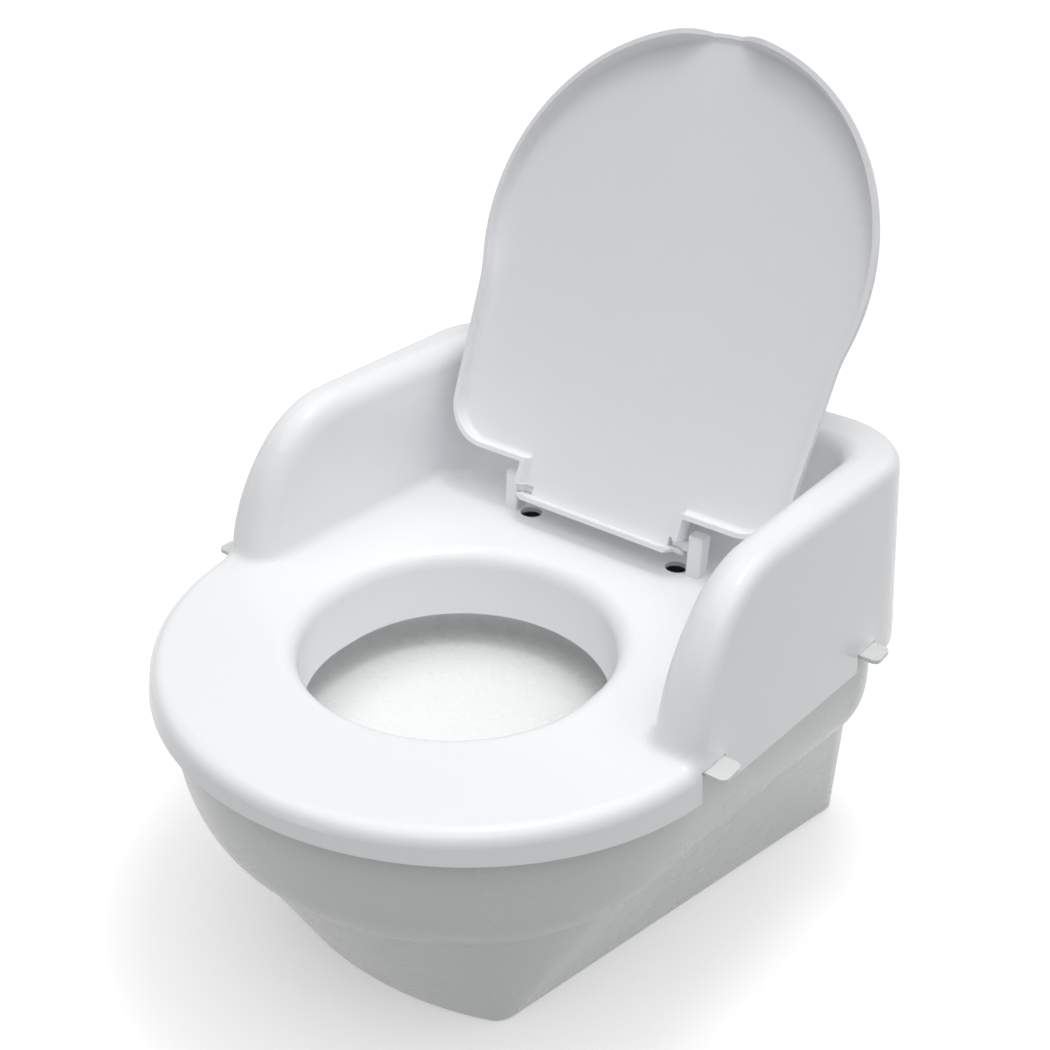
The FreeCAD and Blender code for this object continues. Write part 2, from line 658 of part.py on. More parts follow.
def lid_outline(body, name, inset, height):
    """The right half of the lid from above, closed, with the hinge axis at y = 0."""
    sketch = new_sketch(body, name, height=height)
    w = size(inset)
    tilt = math.radians(size("lid_taper"))
    nose, waist, bend = size("lid_radius") - w, size("lid_waist_radius") + w, size("lid_corner") - w
    side, centre_y = size("lid_side") - w, -size("lid_centre")
    rear, tongue, tail = -size("lid_rear") - w, size("tongue_half") - w, size("tongue_back") - w
    chamfer = size("tongue_chamfer")
    turn = math.acos((side + waist - centre_y * math.sin(tilt)) / (nose + waist)) + tilt
    hollow = Vector(math.cos(turn), math.sin(turn), 0) * (nose + waist) + Vector(0, centre_y, 0)
    out = Vector(math.cos(tilt), math.sin(tilt), 0)
    start = hollow - out * waist
    bend_y = rear - bend
    bend_x = (side - bend - bend_y * math.sin(tilt)) / math.cos(tilt)
    finish = Vector(bend_x, bend_y, 0) + out * bend
    front = arc(sketch, (0, centre_y), nose, -90, math.degrees(turn))
    neck = arc(sketch, (hollow.x, hollow.y), waist,
               math.degrees(tilt) + 180, math.degrees(turn) + 180)
    flank = line(sketch, (start.x, start.y), (finish.x, finish.y))
    corner = arc(sketch, (bend_x, bend_y), bend, math.degrees(tilt), 90)
    points = ((bend_x, rear), (tongue, rear), (tongue, tail - chamfer), (tongue - chamfer, tail),
              (0, tail), (0, centre_y - nose))
    back, cheek, bevel, tongue_end, axis = (line(sketch, points[i], points[i + 1]) for i in range(5))
    relate(sketch, "Tangent", front, 2, neck, 2)
    relate(sketch, "Tangent", neck, 1, flank, 1)
    relate(sketch, "Tangent", flank, 2, corner, 1)
    relate(sketch, "Tangent", corner, 2, back, 1)
    ring = (back, cheek, bevel, tongue_end, axis, front)
    for one, other in zip(ring, ring[1:]):
        relate(sketch, "Coincident", one, 2, other, 1)
    relate(sketch, "PointOnObject", axis, 1, -2)
    relate(sketch, "PointOnObject", axis, 2, -2)
    relate(sketch, "PointOnObject", front, 3, -2)
    relate(sketch, "Horizontal", back)
    relate(sketch, "Vertical", cheek)
    relate(sketch, "Horizontal", tongue_end)
    dimension(sketch, "nose", "Radius", (front,), "lid_radius - (%s)" % inset)
    dimension(sketch, "waist", "Radius", (neck,), "lid_waist_radius + (%s)" % inset)
    dimension(sketch, "corner", "Radius", (corner,), "lid_corner - (%s)" % inset)
    dimension(sketch, "centre", "DistanceY", (front, 3, -1, 1), "lid_centre")
    dimension(sketch, "side", "Distance", (-1, 1, flank), "lid_side - (%s)" % inset)
    dimension(sketch, "taper", "Angle", (flank,), "90 + lid_taper")
    dimension(sketch, "rear", "DistanceY", (back, 2, -1, 1), "lid_rear + (%s)" % inset)
    dimension(sketch, "tongue", "DistanceX", (-1, 1, cheek, 2), "tongue_half - (%s)" % inset)
    dimension(sketch, "tail", "DistanceY", (-1, 1, tongue_end, 1), "tongue_back - (%s)" % inset)
    dimension(sketch, "bevel_x", "DistanceX", (tongue_end, 1, cheek, 2), "tongue_chamfer")
    dimension(sketch, "bevel_y", "DistanceY", (cheek, 2, tongue_end, 1), "tongue_chamfer")
    return sketch


def lid():
    """Panel with a lip round its underside, and a tongue that ends in two snap clips."""
    body = new_body("lid")
    plate = pad(body, "lid_plate", lid_outline(body, "lid_plan", "0", "-lip_drop"), "lid_depth")
    mirror(body, "lid_whole", [plate])
    dish = pad(body, "lid_dish_half", lid_outline(body, "lid_dish_plan", "lid_skin", "-lip_drop"),
               "lid_depth - lid_skin", down=True, kind="Pocket")
    mirror(body, "lid_dish", [dish])
    top, ceiling = size("lid_depth - lip_drop"), size("lid_depth - lid_skin - lip_drop")

    def top_edges(shape):
        faces = [face for face in shape.Faces
                 if normal_of(face).z > FLAT and abs(face_middle(face).z - top) < TINY]
        return [edge for face in faces for edge in face.Edges
                if middle_of(edge).y < size("-lid_rear") - 0.1]

    def dish_edges(shape):
        faces = [face for face in shape.Faces
                 if normal_of(face).z < -FLAT and abs(face_middle(face).z - ceiling) < TINY]
        return [edge for face in faces for edge in face.Edges
                if middle_of(edge).y < size("-lid_rear - lid_skin") - 0.1]

    round_edges(body, "lid_top_round", top_edges, "lid_edge")
    round_edges(body, "lid_cove_round", dish_edges, "lid_cove")
    gap = ribbon(body, "lift_gap_front", (
        ("-lift_half", "-lip_drop"), ("lift_half", "-lip_drop"),
        ("lift_half - lift_slope * lift_height", "lift_height - lip_drop"),
        ("lift_slope * lift_height - lift_half", "lift_height - lip_drop"),
    ), "XZ_Plane")
    bind(gap, "AttachmentOffset.Base.z", "lid_centre + lid_radius - 3 * lid_skin")
    pad(body, "lift_gap", gap, "6 * lid_skin", down=True, kind="Pocket")
    clip_rings(body)
    return body


def clip_rings(body):
    """A ring round each pin at the ends of the tongue, open towards the lid's underside."""
    ring = new_sketch(body, "clip_section", "YZ_Plane", "pin_inner - pin_play")
    outer = ring.addGeometry(Part.Circle(Vector(0, 0, 0), Vector(0, 0, 1), size("tongue_back")))
    relate(ring, "Coincident", outer, 3, -1, 1)
    dimension(ring, "outer", "Radius", (outer,), "tongue_back")
    rings = pad(body, "clip_ring", ring, "tongue_half - pin_inner + pin_play")
    mirror(body, "clip_rings", [rings])
    hole = new_sketch(body, "clip_hole_section", "YZ_Plane", "pin_inner - lid_skin / 2")
    bore = hole.addGeometry(Part.Circle(Vector(0, 0, 0), Vector(0, 0, 1), size("pin_radius + pin_play")))
    relate(hole, "Coincident", bore, 3, -1, 1)
    dimension(hole, "bore", "Radius", (bore,), "pin_radius + pin_play")
    bores = pad(body, "clip_bore", hole, "tongue_half - pin_inner + lid_skin", down=True, kind="Pocket")
    mirror(body, "clip_bores", [bores])
    mouth = ribbon(body, "clip_mouth_section", (
        ("-clip_mouth / 2", "-lip_drop"), ("clip_mouth / 2", "-lip_drop"),
        ("clip_mouth / 2", "0"), ("-clip_mouth / 2", "0"),
    ))
    bind(mouth, "AttachmentOffset.Base.z", "pin_inner - lid_skin / 2")
    mouths = pad(body, "clip_mouth", mouth, "tongue_half - pin_inner + lid_skin", down=True, kind="Pocket")
    mirror(body, "clip_mouths", [mouths])


# ------------------------------------------------------------------ bowl

def potty_bowl():
    """A round-bottomed pan that hangs by its flange in the base."""
    body = new_body("bowl")
    top, floor = "-flange_depth", "-bowl_floor"
    outside = loft(body, "bowl_outside", [
        oval(body, "bowl_outside_top", top, "bowl_radius + bowl_wall", "bowl_stretch"),
        oval(body, "bowl_outside_low", floor + " - bowl_wall", "bowl_floor_radius + bowl_wall",
             "bowl_stretch"),
    ])
    flange = pad(body, "bowl_flange", oval(body, "bowl_flange_plan", top, "bowl_radius + flange_width",
                                           "bowl_stretch"), "flange_thick", down=True)
    loft(body, "bowl_inside", [
        oval(body, "bowl_inside_top", top, "bowl_radius", "bowl_stretch"),
        oval(body, "bowl_inside_low", floor, "bowl_floor_radius", "bowl_stretch"),
    ], kind="SubtractiveLoft")
    floor_level, under = size(floor), size(floor + " - bowl_wall")

    def ring_at(level):
        return lambda shape: [edge for edge in shape.Edges if abs(edge.BoundBox.ZMin - level) < TINY
                              and edge.BoundBox.ZLength < TINY]

    round_edges(body, "bowl_cove", ring_at(floor_level), "bowl_cove")
    round_edges(body, "bowl_heel", ring_at(under), "bowl_cove + bowl_wall")
    return body


# ------------------------------------------------------------------ base

def base_form(name, inset, rim, bottom):
    """The base as a solid, drawn in by inset: a bulging band down to a crease, then a pedestal."""
    body = new_body(name)

    def section(tag, height, drawn, front, half, flare, rear, corner, nose, shoulder):
        """One outline whose distances and radii are all drawn in."""
        drawn = " - (%s) - (%s)" % (inset, drawn)
        return shell_outline(body, name + "_" + tag, height, front + drawn, half + drawn, flare,
                             rear + drawn, corner + drawn, nose + drawn, shoulder + drawn)

    def band_section(tag, height, drawn):
        """An outline that runs level with the seat's, inside its skirt."""
        return section(tag, height, drawn, "seat_front", "seat_half", "flare", "seat_rear", "rear_radius",
                       "seat_half - front_ease", "seat_half + front_ease")

    def crease_section(tag, drawn):
        return section(tag, "-crease_depth", drawn, "crease_front", "crease_half", "crease_flare",
                       "crease_rear", "crease_corner", "crease_half + crease_blunt",
                       "crease_half - crease_turn")

    skirt_inset = "wall + seat_play"
    belly_inset = "(wall + seat_play + band_lean) / 2 - belly_bulge"
    belly_half = "(seat_half + crease_half) / 2"
    band = loft(body, name + "_band", [
        band_section("rim", rim, skirt_inset),
        band_section("low_rim", "-collar_depth", skirt_inset + " + band_lean"),
        section("belly", "-(collar_depth + crease_depth) / 2", belly_inset,
                "(seat_front + crease_front) / 2", belly_half, "(flare + crease_flare) / 2",
                "(seat_rear + crease_rear) / 2", "(rear_radius + crease_corner) / 2",
                belly_half + " - front_ease", belly_half + " + front_ease"),
        crease_section("crease", "0"),
    ], ruled=False)
    pedestal = loft(body, name + "_pedestal", [
        crease_section("waist", "crease_step"),
        section("ground", bottom, "0", "foot_front", "foot_half", "foot_flare", "foot_rear",
                "foot_rear_corner", "foot_nose_radius", "foot_corner"),
    ])
    mirror(body, name + "_whole", [band, pedestal])
    return body


def base_shell():
    outside = base_form("base_outside", "0", "-rim_drop", "floor_gap - deck_height")
    inside = base_form("base_inside", "wall", "-rim_drop / 2", "floor_gap + wall - deck_height")
    hollow = combine("Cut", "base_hollow", outside, inside)
    slab = new_body("shelf_slab")
    plan = ribbon(slab, "shelf_plan", (
        ("-%g" % REACH, "-%g" % REACH), ("%g" % REACH, "-%g" % REACH),
        ("%g" % REACH, "%g" % REACH), ("-%g" % REACH, "%g" % REACH)), "XY_Plane")
    bind(plan, "AttachmentOffset.Base.z", "-flange_depth - flange_thick")
    pad(slab, "shelf_block", plan, "shelf_thick", down=True)
    well = oval(slab, "shelf_well", "0", "bowl_radius + bowl_wall + shelf_play", "bowl_stretch")
    pad(slab, "shelf_opening", well, "deck_height", kind="Pocket")
    shelf = combine("Common", "shelf", slab, outside)
    shelved = combine("Fuse", "base_shelved", hollow, shelf)
    lugged = combine("Fuse", "base_lugged", shelved, lug_form())
    return lugged


def pad_sockets(base):
    """Shallow sockets under the base that the pads are pushed into."""
    for name, side, place in pad_places():
        socket = doc.addObject("Part::Cylinder", name + "_socket")
        bind(socket, "Radius", "pad_radius + pad_play")
        bind(socket, "Height", "pad_thick - floor_gap")
        bind(socket, "Placement.Base.x", side)
        bind(socket, "Placement.Base.y", place)
        bind(socket, "Placement.Base.z", "floor_gap - deck_height")
        base = combine("Cut", name + "_seat", base, socket)
    return base


def pad_places():
    """Name and place of each pad, seen from above."""
    return (("foot_pad_front_left", "-front_pad_side", "-front_pad_place"),
            ("foot_pad_front_right", "front_pad_side", "-front_pad_place"),
            ("foot_pad_rear_left", "-rear_pad_side", "rear_pad_place"),
            ("foot_pad_rear_right", "rear_pad_side", "rear_pad_place"))


def foot_pad(name, side, place):
    """A rubber disc with a chamfered tread."""
    disc = doc.addObject("Part::Cylinder", name + "_disc")
    bind(disc, "Radius", "pad_radius")
    bind(disc, "Height", "pad_thick")
    doc.recompute()
    low = next(i + 1 for i, edge in enumerate(disc.Shape.Edges)
               if edge.BoundBox.ZLength < TINY and edge.BoundBox.ZMin < TINY)
    pad_item = doc.addObject("Part::Chamfer", name)
    pad_item.Base = disc
    pad_item.Edges = [(low, size("pad_chamfer"), size("pad_chamfer"))]
    return pad_item


# ------------------------------------------------------------------ the whole chair

def place(item, label, x="0", y="-opening_setback", z="deck_height"):
    """Gives a sub-part its label and puts it where it sits in the assembly."""
    item.Label = label
    bind(item, "Placement.Base.x", x)
    bind(item, "Placement.Base.y", y)
    bind(item, "Placement.Base.z", z)
    return item


def assemble():
    """Builds every sub-part and returns them in their places, the lid open."""
    parts = [
        place(pad_sockets(base_shell()), "base_shell"),
        place(seat_shell(), "seat_shell"),
        place(potty_bowl(), "potty_bowl"),
    ]
    cover = place(lid(), "lid", y="hinge_back - opening_setback", z="deck_height + hinge_height")
    cover.Placement.Rotation = Rotation(Vector(-1, 0, 0), size("open_angle"))
    bind(cover, "Placement.Rotation.Angle", "open_angle")
    parts.append(cover)
    for name, side, back in pad_places():
        pad_item = foot_pad(name, side, back)
        parts.append(place(pad_item, name, side, "%s - opening_setback" % back, "0"))
    doc.recompute()
    return parts


def check(parts):
    """Stops when any object failed, or a sub-part is not one sound solid."""
    for item in doc.Objects:
        if "Invalid" in item.State or "Error" in item.State:
            raise RuntimeError("%s failed: %s" % (item.Name, item.State))
    for item in parts:
        shape = item.Shape
        if shape.isNull() or not shape.isValid() or len(shape.Solids) != 1:
            raise RuntimeError("%s is not one sound solid" % item.Label)


def export(parts):
    os.makedirs("parts", exist_ok=True)
    for item in parts:
        item.Shape.exportStep("parts/%s.step" % item.Label)
        box = item.Shape.optimalBoundingBox()
        print("%-22s %8.1f cm3  %6.1f x %6.1f x %6.1f mm" % (
            item.Label, item.Shape.Volume / 1000, box.XLength, box.YLength, box.ZLength))


fill_sheet()
doc.addObject("App::FeaturePython", "Anchor")     # an object to work expressions out on
pieces = assemble()
check(pieces)
export(pieces)
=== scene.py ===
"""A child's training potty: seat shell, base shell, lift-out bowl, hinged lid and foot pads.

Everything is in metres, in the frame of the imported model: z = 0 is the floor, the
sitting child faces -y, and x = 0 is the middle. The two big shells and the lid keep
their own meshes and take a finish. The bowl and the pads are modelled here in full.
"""

import logging
import math
from dataclasses import dataclass, field
from enum import Enum
from typing import Callable, Optional, Sequence

import bpy
from mathutils import Matrix, Vector


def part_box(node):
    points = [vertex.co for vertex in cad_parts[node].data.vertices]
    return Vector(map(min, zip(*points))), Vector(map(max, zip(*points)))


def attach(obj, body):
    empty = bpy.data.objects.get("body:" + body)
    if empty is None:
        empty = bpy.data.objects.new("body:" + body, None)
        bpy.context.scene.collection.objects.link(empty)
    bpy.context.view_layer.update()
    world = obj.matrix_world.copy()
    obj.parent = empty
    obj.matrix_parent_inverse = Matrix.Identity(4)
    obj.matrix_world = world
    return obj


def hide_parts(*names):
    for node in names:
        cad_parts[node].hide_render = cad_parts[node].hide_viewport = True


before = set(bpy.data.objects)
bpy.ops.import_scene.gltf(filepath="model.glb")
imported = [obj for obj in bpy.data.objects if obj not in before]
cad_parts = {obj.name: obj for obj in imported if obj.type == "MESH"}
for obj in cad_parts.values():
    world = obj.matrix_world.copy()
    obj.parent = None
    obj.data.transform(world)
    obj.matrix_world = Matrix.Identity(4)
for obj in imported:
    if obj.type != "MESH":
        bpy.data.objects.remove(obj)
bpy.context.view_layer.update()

MM = 0.001
NEAR = 0.05 * MM                 # places closer than this count as one
ORIGIN = (0.0, 0.0, 0.0)

logging.basicConfig(level=logging.INFO, format="%(message)s")
log = logging.getLogger("potty")


class Body(Enum):
    """The rigid bodies that pieces ride on."""

    BASE = "base"
    SEAT = "seat"
    BOWL = "bowl"
    LID = "lid"


class Slot(Enum):
    """The record's material slots."""

    SEAT = "seat_plastic"
    LID = "lid_plastic"
    BOWL = "bowl_plastic"
    BASE = "base_plastic"
    PADS = "pad_rubber"


# ------------------------------------------------------------------ finishes

def linear(hex_colour: str) -> tuple[float, float, float, float]:
    """Turns an sRGB colour into the linear values that shaders take.

    Args:
        hex_colour: six hex digits after a hash sign.

    Returns:
        Red, green, blue and an alpha of one.
    """
    parts = [int(hex_colour[i:i + 2], 16) / 255 for i in (1, 3, 5)]
    red, green, blue = (p / 12.92 if p <= 0.04045 else ((p + 0.055) / 1.055) ** 2.4 for p in parts)
    return red, green, blue, 1.0


def add_node(
    tree: bpy.types.NodeTree,
    kind: str,
    settings: Optional[dict] = None,
    inputs: Optional[dict] = None,
    links: Optional[dict] = None,
) -> bpy.types.Node:
    """Adds one node with its settings, socket values and links.

    Args:
        tree: the node tree to add to.
        kind: the node's type name.
        settings: attributes of the node.
        inputs: values for input sockets, by name or index.
        links: output sockets that feed input sockets, by name or index.

    Returns:
        The new node.
    """
    node = tree.nodes.new(kind)
    for name, value in (settings or {}).items():
        setattr(node, name, value)
    for name, value in (inputs or {}).items():
        node.inputs[name].default_value = value
    for name, source in (links or {}).items():
        tree.links.new(source, node.inputs[name])
    return node


@dataclass(frozen=True)
class MouldedPlastic:
    """Injection-moulded polypropylene: an opaque white with a waxy gloss.

    The colour drifts very slightly where the melt cooled slower, and the skin carries
    a faint ripple that softens reflections.
    """

    name: str
    # for the base, this colour is darkened as painted shade
    colour: str                      # sRGB hex of the resin
    drift_colour: str                # the same resin where it cooled slower
    roughness: float = 0.24
    roughness_swing: float = 0.05
    ripple_mm: float = 9.0           # width of one ripple of the skin
    ripple_height_mm: float = 0.012
    drift_mm: float = 60.0           # width of one patch of colour drift
    grain_mm: float = 1.4            # fine grain of the mould's skin
    grain_height_mm: float = 0.004
    drift_detail: float = 2.0        # finer octaves in each pattern
    ripple_detail: float = 3.0
    grain_detail: float = 1.0
    ior: float = 1.49

    def make(self) -> bpy.types.Material:
        """Builds the material.

        Returns:
            The finished material.
        """
        material = bpy.data.materials.new(self.name)
        material.use_nodes = True
        tree = material.node_tree
        tree.nodes.clear()
        place = add_node(tree, "ShaderNodeTexCoord").outputs["Object"]
        drift, ripple, grain = (
            add_node(tree, "ShaderNodeTexNoise", None,
                     {"Scale": 1.0 / (width * MM), "Detail": detail, "Roughness": 0.5},
                     {"Vector": place}).outputs[0]
            for width, detail in ((self.drift_mm, self.drift_detail), (self.ripple_mm, self.ripple_detail),
                                  (self.grain_mm, self.grain_detail)))
        tint = add_node(tree, "ShaderNodeMix", {"data_type": "RGBA"},
                        {6: linear(self.colour), 7: linear(self.drift_colour)}, {0: drift})
        gloss = add_node(tree, "ShaderNodeMapRange", None,
                         {"To Min": self.roughness - self.roughness_swing,
                          "To Max": self.roughness + self.roughness_swing}, {"Value": ripple})
        waves = add_node(tree, "ShaderNodeBump", None,
                         {"Strength": 1.0, "Distance": self.ripple_height_mm * MM}, {"Height": ripple})
        skin = add_node(tree, "ShaderNodeBump", None,
                        {"Strength": 1.0, "Distance": self.grain_height_mm * MM},
                        {"Height": grain, "Normal": waves.outputs["Normal"]})
        shader = add_node(tree, "ShaderNodeBsdfPrincipled", None, {"IOR": self.ior},
                          {"Base Color": tint.outputs[2], "Roughness": gloss.outputs["Result"],
                           "Normal": skin.outputs["Normal"]})
        add_node(tree, "ShaderNodeOutputMaterial", None, None, {"Surface": shader.outputs["BSDF"]})
        return material


@dataclass(frozen=True)
class PadRubber:
    """Thermoplastic rubber: matte grey, a little dusty, with no clear highlights."""

    name: str = "thermoplastic_rubber_grey"
    colour: str = "#8E9092"
    dust_colour: str = "#A3A4A4"
    roughness: float = 0.72
    dust_mm: float = 2.5
    dust_height_mm: float = 0.03
    dust_detail: float = 4.0
    ior: float = 1.50

    def make(self) -> bpy.types.Material:
        """Builds the material.

        Returns:
            The finished material.
        """
        material = bpy.data.materials.new(self.name)
        material.use_nodes = True
        tree = material.node_tree
        tree.nodes.clear()
        place = add_node(tree, "ShaderNodeTexCoord").outputs["Object"]
        dust = add_node(tree, "ShaderNodeTexNoise", None,
                        {"Scale": 1.0 / (self.dust_mm * MM), "Detail": self.dust_detail, "Roughness": 0.5},
                        {"Vector": place}).outputs[0]
        tint = add_node(tree, "ShaderNodeMix", {"data_type": "RGBA"},
                        {6: linear(self.colour), 7: linear(self.dust_colour)}, {0: dust})
        bump = add_node(tree, "ShaderNodeBump", None,
                        {"Strength": 1.0, "Distance": self.dust_height_mm * MM}, {"Height": dust})
        shader = add_node(tree, "ShaderNodeBsdfPrincipled", None,
                          {"IOR": self.ior, "Roughness": self.roughness},
                          {"Base Color": tint.outputs[2], "Normal": bump.outputs["Normal"]})
        add_node(tree, "ShaderNodeOutputMaterial", None, None, {"Surface": shader.outputs["BSDF"]})
        return material


# Polished mould: clear soft-edged highlights on a slightly blue white.
SEAT_PLASTIC = MouldedPlastic("moulded_polypropylene_cool_white", "#F9FAFC", "#F7F9FB")
# The lid's mould was blasted: the highlight spreads out and the face looks faintly mottled.
LID_PLASTIC = MouldedPlastic("moulded_polypropylene_satin_white", "#F7F8FA", "#F4F5F8", roughness=0.36,
                             ripple_mm=6.0, ripple_height_mm=0.03, grain_mm=1.0, grain_height_mm=0.010)
# The bowl is a plainer resin, with a trace of green in its shadows.
BOWL_PLASTIC = MouldedPlastic("moulded_polypropylene_neutral_white", "#F6F8F7", "#F3F5F4", roughness=0.28,
                              grain_height_mm=0.0)
# The base is the same plainer resin, from a mould with a softer polish. Its colour is set darker than the
# bowl's as painted shade, standing in for the shade it sits in under the seat.
BASE_PLASTIC = MouldedPlastic("moulded_polypropylene_white_painted_shade", "#E4E7E6", "#E1E4E3", roughness=0.27,
                              ripple_mm=30.0, ripple_height_mm=0.0, grain_height_mm=0.0)
PAD_RUBBER = PadRubber()


# ------------------------------------------------------------------ modelling helpers

def deselect_objects() -> None:
    """Leaves object mode's selection empty."""
    if bpy.context.object and bpy.context.object.mode != "OBJECT":
        bpy.ops.object.mode_set(mode="OBJECT")
    bpy.ops.object.select_all(action="DESELECT")


def name_new(name: str) -> bpy.types.Object:
    """Names the object that an operator has just added and its mesh.

    Args:
        name: the piece's name.

    Returns:
        The object.
    """
    piece = bpy.context.object
    piece.name = name
    piece.data.name = name
    return piece


def pick(piece: bpy.types.Object, mode: str, wanted: Callable[[Vector], bool]) -> int:
    """Selects the vertices, edges or faces of the piece in edit mode whose middle a test accepts.

    Args:
        piece: the object in edit mode.
        mode: VERT, EDGE or FACE.
        wanted: a test of a place in metres.

    Returns:
        How many were selected.
    """
    bpy.ops.mesh.select_mode(type=mode)
    bpy.ops.mesh.select_all(action="DESELECT")
    bpy.ops.object.mode_set(mode="OBJECT")
    mesh = piece.data
    if mode == "VERT":
        items = [(vertex, vertex.co) for vertex in mesh.vertices]
    elif mode == "EDGE":
        items = [(edge, (mesh.vertices[edge.vertices[0]].co + mesh.vertices[edge.vertices[1]].co) / 2)
                 for edge in mesh.edges]
    else:
        items = [(face, face.center) for face in mesh.polygons]
    count = 0
    for item, middle in items:
        if wanted(middle):
            item.select = True
            count += 1
    bpy.ops.object.mode_set(mode="EDIT")
    return count


def finish_piece(piece: bpy.types.Object, material: bpy.types.Material, body: Body,
                 stands_for: Sequence[str] = (), angle: float = 40.0) -> None:
    """Puts a new piece's place in its mesh, smooths it, dresses it and rides it on its body.

    Args:
        piece: the object, in object mode.
        material: its finish.
        body: the body it rides on.
        stands_for: CAD nodes that it replaces.
        angle: edges sharper than this stay sharp, in degrees.
    """
    deselect_objects()
    piece.select_set(True)
    bpy.context.view_layer.objects.active = piece
    bpy.ops.object.transform_apply(location=True, rotation=True, scale=True)
    bpy.ops.object.shade_smooth_by_angle(angle=math.radians(angle))
    piece.data.materials.clear()
    piece.data.materials.append(material)
    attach(piece, body.value)
    if stands_for:
        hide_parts(*stands_for)


def apply_modifier(piece: bpy.types.Object, kind: str, **settings) -> None:
    """Adds a modifier to the active object and applies it.

    Args:
        piece: the object, in object mode.
        kind: the modifier's type.
        settings: its settings.
    """
    deselect_objects()
    piece.select_set(True)
    bpy.context.view_layer.objects.active = piece
    modifier = piece.modifiers.new(kind.lower(), kind)
    for name, value in settings.items():
        setattr(modifier, name, value)
    bpy.ops.object.modifier_apply(modifier=modifier.name)


def dress_node(name: str, material: bpy.types.Material) -> None:
    """Gives a CAD node its finish, and leaves its mesh alone.

    Args:
        name: the node.
        material: its finish.
    """
    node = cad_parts[name]
    node.data.materials.clear()
    node.data.materials.append(material)
    log.info("%s: kept, dressed in %s", name, material.name)


# ------------------------------------------------------------------ the big shells

@dataclass
class SeatShell:
    """Deck, armrests, back wall, skirt, splash collar and hinge posts, moulded in one."""

    node: str = "seat_shell"
    finish: MouldedPlastic = SEAT_PLASTIC

    def build(self) -> None:
        """Dresses the shell."""
        dress_node(self.node, self.finish.make())


@dataclass
class BaseShell:
    """The lower shell: bulging band, pedestal, shelf for the bowl, and lugs."""

    node: str = "base_shell"
    finish: MouldedPlastic = BASE_PLASTIC

    def build(self) -> None:
        """Dresses the shell."""
        dress_node(self.node, self.finish.make())


@dataclass
class Lid:
    """The hinged lid."""

    node: str = "lid"
    finish: MouldedPlastic = LID_PLASTIC

    def build(self) -> None:
        """Dresses the lid."""
        dress_node(self.node, self.finish.make())


# ------------------------------------------------------------------ bowl

